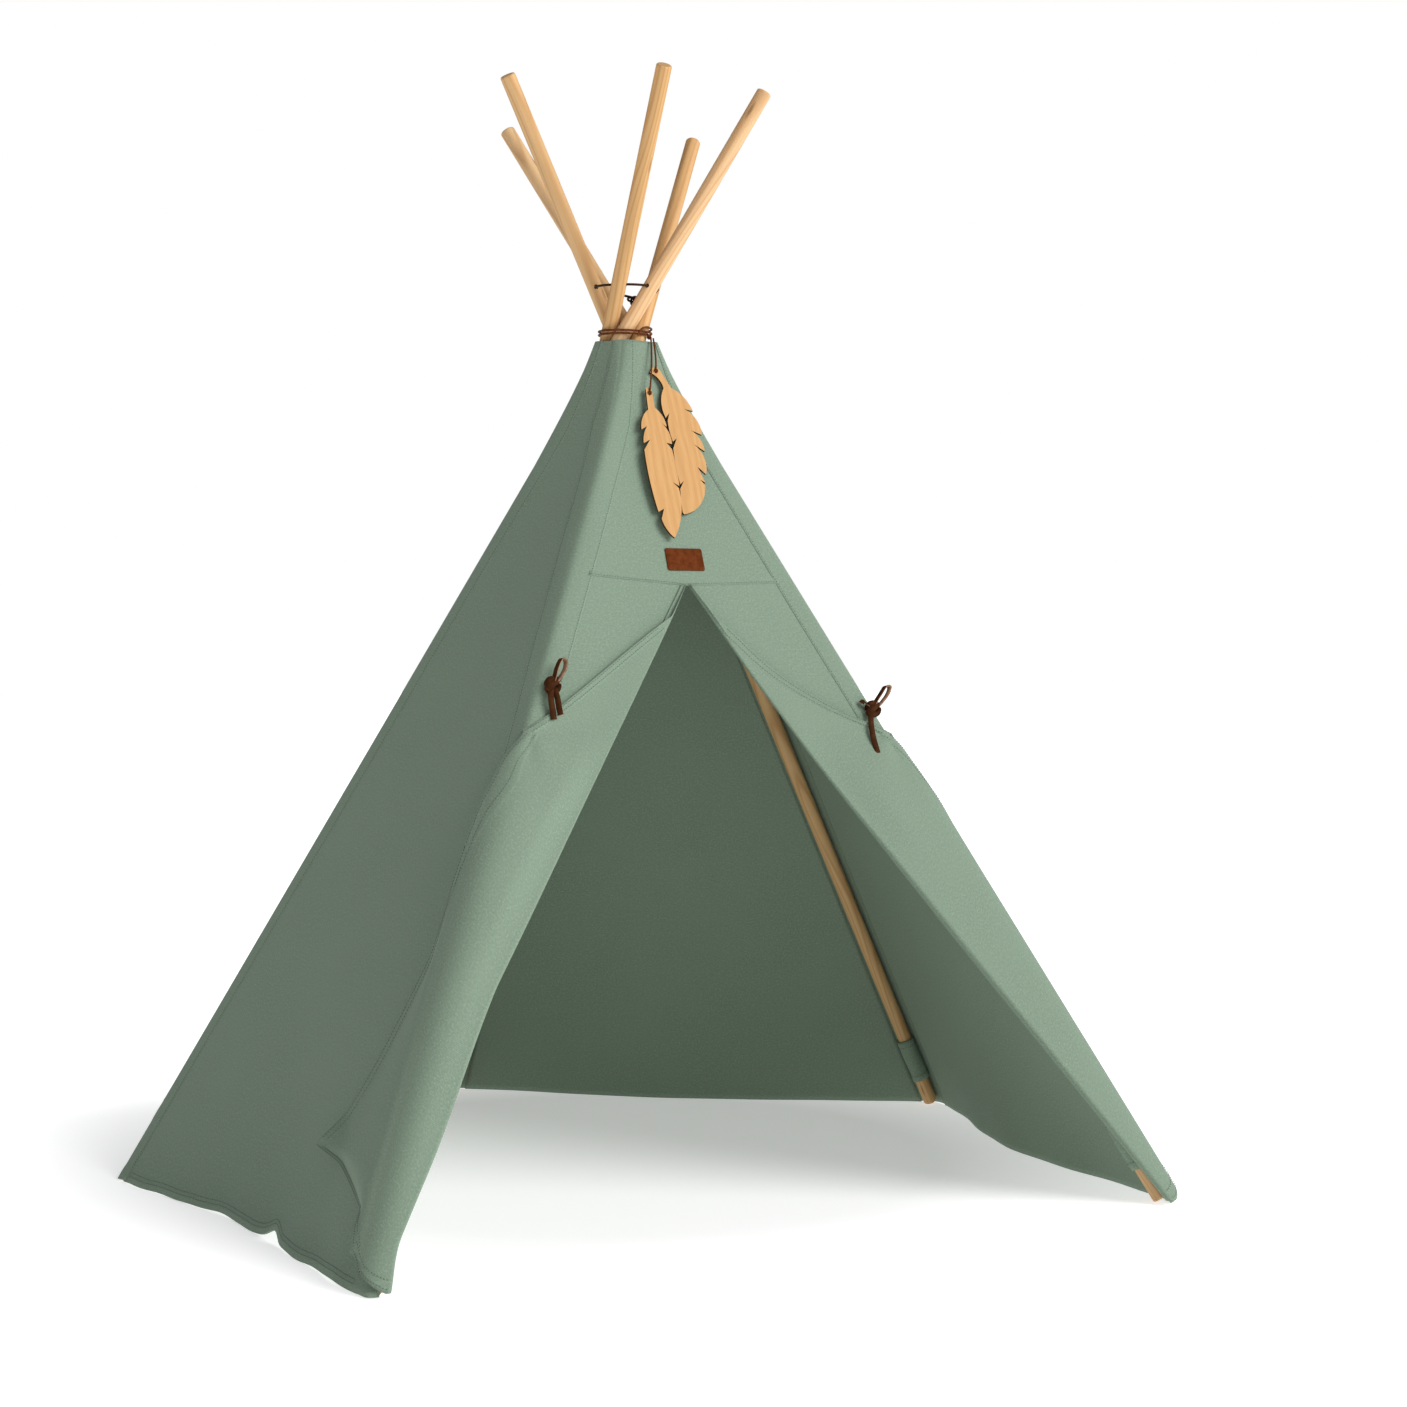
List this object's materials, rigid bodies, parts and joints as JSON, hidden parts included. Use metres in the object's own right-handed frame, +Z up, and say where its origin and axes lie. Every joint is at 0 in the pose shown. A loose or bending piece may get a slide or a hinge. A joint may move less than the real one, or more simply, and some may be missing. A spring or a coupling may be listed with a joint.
{
  "type": "play tent",
  "caption": "Pyramid play tent: lashed round wooden poles under a canvas cover, with a peaked doorway, tied-back flaps and hanging wooden feathers.",
  "frame": {"origin": "on the floor, under the middle of the standing tent's box", "axes": "+Z up; the doorway faces -Y; +X is to the right of someone looking in"},
  "size_m": [1.3776, 1.3007, 1.5628],
  "materials": {
    "pine": "smooth turned pine dowel, clear matt",
    "canvas": "sage green cotton canvas, fine twill, matt",
    "tie_leather": "brown leather thong with a raw pinkish back",
    "label_leather": "tan leather patch, blank",
    "leather_cord": "thin round brown leather cord",
    "dark_cord": "dark brown braided lashing cord",
    "plywood": "laser-cut birch plywood with burnt edges"
  },
  "bodies": {
    "hub": {"lashing_cord": "dark_cord", "lashing_knot": "dark_cord", "wrap_cord": "leather_cord", "wrap_knot": "leather_cord"},
    "pole_front_left": {"pole_front_left": "pine", "pole_loop_front_left": "canvas", "leather_tie_left": "tie_leather"},
    "pole_front_right": {"pole_front_right": "pine", "pole_loop_front_right": "canvas", "leather_tie_right": "tie_leather"},
    "pole_right": {"pole_right": "pine", "pole_loop_right": "canvas"},
    "pole_back": {"pole_back": "pine", "pole_loop_back": "canvas"},
    "pole_left": {"pole_left": "pine", "pole_loop_left": "canvas"},
    "panel_right": {"panel_right": "canvas"},
    "panel_back_right": {"panel_back_right": "canvas"},
    "panel_back_left": {"panel_back_left": "canvas"},
    "panel_left": {"panel_left": "canvas"},
    "front_yoke": {"front_yoke": "canvas", "leather_label": "label_leather"},
    "door_strip_left": {"door_strip_left": "canvas"},
    "door_flap_inner_left": {"door_flap_inner_left": "canvas"},
    "door_flap_outer_left": {"door_flap_outer_left": "canvas"},
    "door_strip_right": {"door_strip_right": "canvas"},
    "door_flap_inner_right": {"door_flap_inner_right": "canvas"},
    "door_flap_outer_right": {"door_flap_outer_right": "canvas"},
    "feather_round": {"feather_round": "plywood", "feather_cord_round": "leather_cord"},
    "feather_long": {"feather_long": "plywood", "feather_cord_long": "leather_cord"}
  },
  "joints": [
    {"name": "fold", "type": "hinge", "parent": "hub", "child": "pole_back", "pos_m": [0.0084, -0.084, 1.216], "axis": [-1, 0, 0], "range_deg": [0, 30.38], "deforming": ["panel_right", "panel_back_right", "panel_back_left", "panel_left", "front_yoke", "leather_label", "leather_tie_left", "leather_tie_right", "lashing_cord", "lashing_knot", "door_strip_left", "door_flap_inner_left", "door_flap_outer_left", "door_strip_right", "door_flap_inner_right", "door_flap_outer_right"]},
    {"name": "fold_front_left", "type": "hinge", "parent": "hub", "child": "pole_front_left", "pos_m": [0.0084, -0.084, 1.216], "axis": [0.6833, -0.7302, 0], "range_deg": [0, 32.63], "deforming": ["panel_right", "panel_back_right", "panel_back_left", "panel_left", "front_yoke", "leather_label", "leather_tie_left", "leather_tie_right", "lashing_cord", "lashing_knot", "door_strip_left", "door_flap_inner_left", "door_flap_outer_left", "door_strip_right", "door_flap_inner_right", "door_flap_outer_right"]},
    {"name": "fold_front_right", "type": "hinge", "parent": "hub", "child": "pole_front_right", "pos_m": [0.0084, -0.084, 1.216], "axis": [0.6833, 0.7302, 0], "range_deg": [0, 32.63], "deforming": ["panel_right", "panel_back_right", "panel_back_left", "panel_left", "front_yoke", "leather_label", "leather_tie_left", "leather_tie_right", "lashing_cord", "lashing_knot", "door_strip_left", "door_flap_inner_left", "door_flap_outer_left", "door_strip_right", "door_flap_inner_right", "door_flap_outer_right"]},
    {"name": "fold_right", "type": "hinge", "parent": "hub", "child": "pole_right", "pos_m": [0.0084, -0.084, 1.216], "axis": [-0.342, 0.9397, 0], "range_deg": [0, 30.36], "deforming": ["panel_right", "panel_back_right", "panel_back_left", "panel_left", "front_yoke", "leather_label", "leather_tie_left", "leather_tie_right", "lashing_cord", "lashing_knot", "door_strip_left", "door_flap_inner_left", "door_flap_outer_left", "door_strip_right", "door_flap_inner_right", "door_flap_outer_right"]},
    {"name": "fold_left", "type": "hinge", "parent": "hub", "child": "pole_left", "pos_m": [0.0084, -0.084, 1.216], "axis": [-0.342, -0.9397, 0], "range_deg": [0, 30.36], "deforming": ["panel_right", "panel_back_right", "panel_back_left", "panel_left", "front_yoke", "leather_label", "leather_tie_left", "leather_tie_right", "lashing_cord", "lashing_knot", "door_strip_left", "door_flap_inner_left", "door_flap_outer_left", "door_strip_right", "door_flap_inner_right", "door_flap_outer_right"]},
    {"name": "gather_panel_right", "type": "hinge", "parent": "pole_front_right", "child": "panel_right", "pos_m": [0.0084, -0.084, 1.216], "axis": [-0.9631, 0.1357, -0.2326], "range_deg": [0, 32.71], "deforming": ["panel_right", "panel_back_right", "panel_back_left", "panel_left", "front_yoke", "leather_label", "leather_tie_left", "leather_tie_right", "lashing_cord", "lashing_knot", "door_strip_left", "door_flap_inner_left", "door_flap_outer_left", "door_strip_right", "door_flap_inner_right", "door_flap_outer_right"]},
    {"name": "gather_panel_back_right", "type": "hinge", "parent": "pole_right", "child": "panel_back_right", "pos_m": [0.0084, -0.084, 1.216], "axis": [-0.5613, -0.7987, -0.2169], "range_deg": [0, 34.59], "deforming": ["panel_right", "panel_back_right", "panel_back_left", "panel_left", "front_yoke", "leather_label", "leather_tie_left", "leather_tie_right", "lashing_cord", "lashing_knot", "door_strip_left", "door_flap_inner_left", "door_flap_outer_left", "door_strip_right", "door_flap_inner_right", "door_flap_outer_right"]},
    {"name": "gather_panel_back_left", "type": "hinge", "parent": "pole_back", "child": "panel_back_left", "pos_m": [0.0084, -0.084, 1.216], "axis": [0.5613, -0.7987, -0.2169], "range_deg": [0, 34.59], "deforming": ["panel_right", "panel_back_right", "panel_back_left", "panel_left", "front_yoke", "leather_label", "leather_tie_left", "leather_tie_right", "lashing_cord", "lashing_knot", "door_strip_left", "door_flap_inner_left", "door_flap_outer_left", "door_strip_right", "door_flap_inner_right", "door_flap_outer_right"]},
    {"name": "gather_panel_left", "type": "hinge", "parent": "pole_left", "child": "panel_left", "pos_m": [0.0084, -0.084, 1.216], "axis": [0.9631, 0.1357, -0.2326], "range_deg": [0, 32.71], "deforming": ["panel_right", "panel_back_right", "panel_back_left", "panel_left", "front_yoke", "leather_label", "leather_tie_left", "leather_tie_right", "lashing_cord", "lashing_knot", "door_strip_left", "door_flap_inner_left", "door_flap_outer_left", "door_strip_right", "door_flap_inner_right", "door_flap_outer_right"]},
    {"name": "gather_front_yoke", "type": "hinge", "parent": "pole_front_left", "child": "front_yoke", "pos_m": [0.0084, -0.084, 1.216], "axis": [0, 0.9806, -0.1958], "range_deg": [0, 47.32], "deforming": ["panel_right", "panel_back_right", "panel_back_left", "panel_left", "front_yoke", "leather_label", "leather_tie_left", "leather_tie_right", "lashing_cord", "lashing_knot", "door_strip_left", "door_flap_inner_left", "door_flap_outer_left", "door_strip_right", "door_flap_inner_right", "door_flap_outer_right"]},
    {"name": "gather_strip_left", "type": "hinge", "parent": "pole_front_left", "child": "door_strip_left", "pos_m": [-0.55475, -0.64902, 0], "axis": [0.0929, -0.9277, 0.3617], "range_deg": [0, 8.78], "deforming": ["panel_right", "panel_back_right", "panel_back_left", "panel_left", "front_yoke", "leather_label", "leather_tie_left", "leather_tie_right", "lashing_cord", "lashing_knot", "door_strip_left", "door_flap_inner_left", "door_flap_outer_left", "door_strip_right", "door_flap_inner_right", "door_flap_outer_right"]},
    {"name": "door_left", "type": "hinge", "parent": "door_strip_left", "child": "door_flap_inner_left", "pos_m": [-0.52862, -0.64898, 0.001], "axis": [0.5106, 0.3562, 0.7825], "range_deg": [0, 178], "deforming": ["door_flap_inner_left", "door_flap_outer_left", "leather_tie_left"]},
    {"name": "door_crease_left", "type": "hinge", "parent": "door_flap_inner_left", "child": "door_flap_outer_left", "pos_m": [-0.51109, -0.60953, 0.10322], "axis": [0.3932, 0.3679, 0.8427], "range_deg": [0, 76.68], "deforming": ["door_flap_inner_left", "door_flap_outer_left", "leather_tie_left"]},
    {"name": "gather_strip_right", "type": "hinge", "parent": "pole_front_right", "child": "door_strip_right", "pos_m": [0.60626, -0.61218, 0], "axis": [-0.0898, 0.8967, -0.4334], "range_deg": [0, 9.19], "deforming": ["panel_right", "panel_back_right", "panel_back_left", "panel_left", "front_yoke", "leather_label", "leather_tie_left", "leather_tie_right", "lashing_cord", "lashing_knot", "door_strip_left", "door_flap_inner_left", "door_flap_outer_left", "door_strip_right", "door_flap_inner_right", "door_flap_outer_right"]},
    {"name": "door_right", "type": "hinge", "parent": "door_strip_right", "child": "door_flap_inner_right", "pos_m": [0.58064, -0.61723, 0.00119], "axis": [0.5158, -0.3304, -0.7905], "range_deg": [0, 178], "deforming": ["door_flap_inner_right", "door_flap_outer_right", "leather_tie_right"]},
    {"name": "door_crease_right", "type": "hinge", "parent": "door_flap_inner_right", "child": "door_flap_outer_right", "pos_m": [0.56305, -0.57196, 0.10311], "axis": [0.3932, -0.3679, -0.8427], "range_deg": [0, 69.52], "deforming": ["door_flap_inner_right", "door_flap_outer_right", "leather_tie_right"]},
    {"name": "feather_pair_swing", "type": "hinge", "parent": "hub", "child": "feather_round", "pos_m": [0.03161, -0.1184, 1.2065], "axis": [-0.9918, -0.1275, 0], "range_deg": [0, 45]},
    {"name": "feather_long_swing", "type": "hinge", "parent": "feather_round", "child": "feather_long", "pos_m": [0.03161, -0.1184, 1.2065], "axis": [-0.9934, -0.1143, 0], "range_deg": [0, 35]}
  ],
  "couplings": [
    {"joint": "fold_front_left", "follows": "fold", "ratio": 1.0723},
    {"joint": "fold_front_right", "follows": "fold", "ratio": 1.0723},
    {"joint": "fold_right", "follows": "fold", "ratio": 0.99786},
    {"joint": "fold_left", "follows": "fold", "ratio": 0.99786},
    {"joint": "gather_panel_right", "follows": "fold", "ratio": 1.0752},
    {"joint": "gather_panel_back_right", "follows": "fold", "ratio": 1.137},
    {"joint": "gather_panel_back_left", "follows": "fold", "ratio": 1.137},
    {"joint": "gather_panel_left", "follows": "fold", "ratio": 1.0752},
    {"joint": "gather_front_yoke", "follows": "fold", "ratio": 1.556},
    {"joint": "gather_strip_left", "follows": "fold", "ratio": 0.28742},
    {"joint": "door_crease_left", "follows": "door_left", "ratio": 0.43051},
    {"joint": "gather_strip_right", "follows": "fold", "ratio": 0.30087},
    {"joint": "door_crease_right", "follows": "door_right", "ratio": 0.39026}
  ]
}
